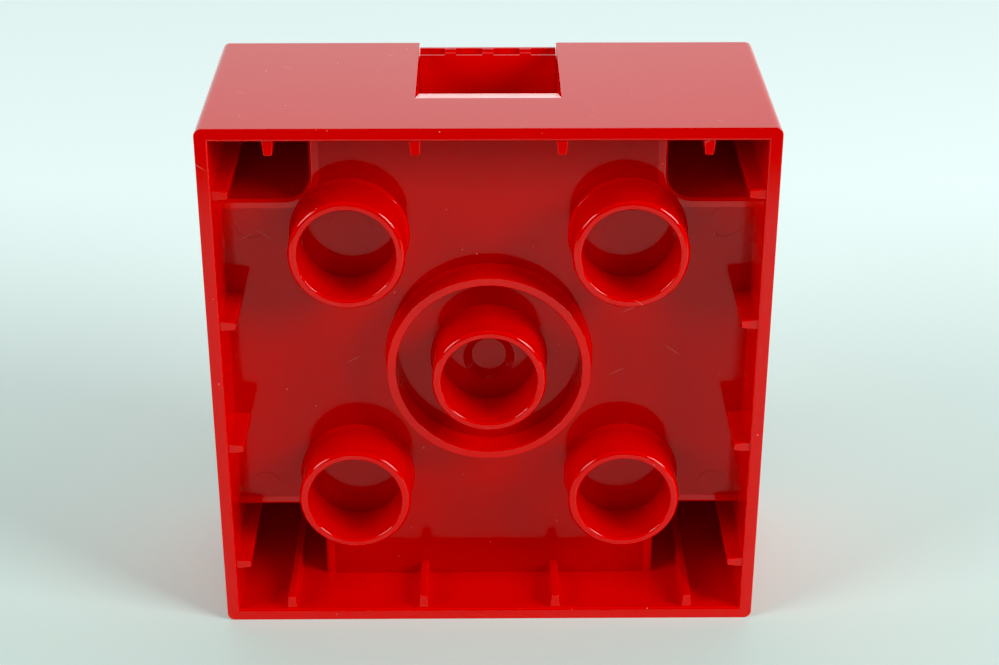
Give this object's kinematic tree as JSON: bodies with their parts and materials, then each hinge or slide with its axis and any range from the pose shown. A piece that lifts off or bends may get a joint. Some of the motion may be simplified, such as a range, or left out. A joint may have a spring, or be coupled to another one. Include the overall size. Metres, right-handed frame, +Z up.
{
  "type": "building block storage box",
  "caption": "Square toy block storage box with a clutch underside, corner columns with studs, a finger notch and a hinged lid.",
  "frame": {"origin": "under the middle of the bounding box, on the plane of the wall that the box stands on", "axes": "+X to the right in the picture, +Y from the open underside to the lid and the corner studs, +Z up to the wall with the finger notch"},
  "size_m": [0.0638, 0.0334, 0.0638],
  "materials": {
    "red_plastic": "glossy moulded"
  },
  "bodies": {
    "box": {"outer_wall": "red_plastic", "floor_plate": "red_plastic", "finger_well": "red_plastic", "clutch_ribs_middle": "red_plastic", "clutch_ribs_corner": "red_plastic", "centre_ring": "red_plastic", "corner_column_front_left": "red_plastic", "corner_column_front_right": "red_plastic", "corner_column_rear_left": "red_plastic", "corner_column_rear_right": "red_plastic", "corner_stud_front_left": "red_plastic", "corner_stud_front_right": "red_plastic", "corner_stud_rear_left": "red_plastic", "corner_stud_rear_right": "red_plastic", "clutch_tube_front_left": "red_plastic", "clutch_tube_front_right": "red_plastic", "clutch_tube_rear_left": "red_plastic", "clutch_tube_rear_right": "red_plastic", "clutch_tube_centre": "red_plastic"},
    "lid": {"lid_panel": "red_plastic", "lid_finger_tab": "red_plastic", "lid_grip_ridges": "red_plastic", "lid_hinge_barrel": "red_plastic", "lid_hinge_pin_left": "red_plastic", "lid_hinge_pin_right": "red_plastic"}
  },
  "joints": [
    {"name": "lid_hinge", "type": "hinge", "parent": "box", "child": "lid", "pos_m": [0, 0.01105, 0.0032], "axis": [-1, 0, 0], "range_deg": [0, 110]}
  ]
}
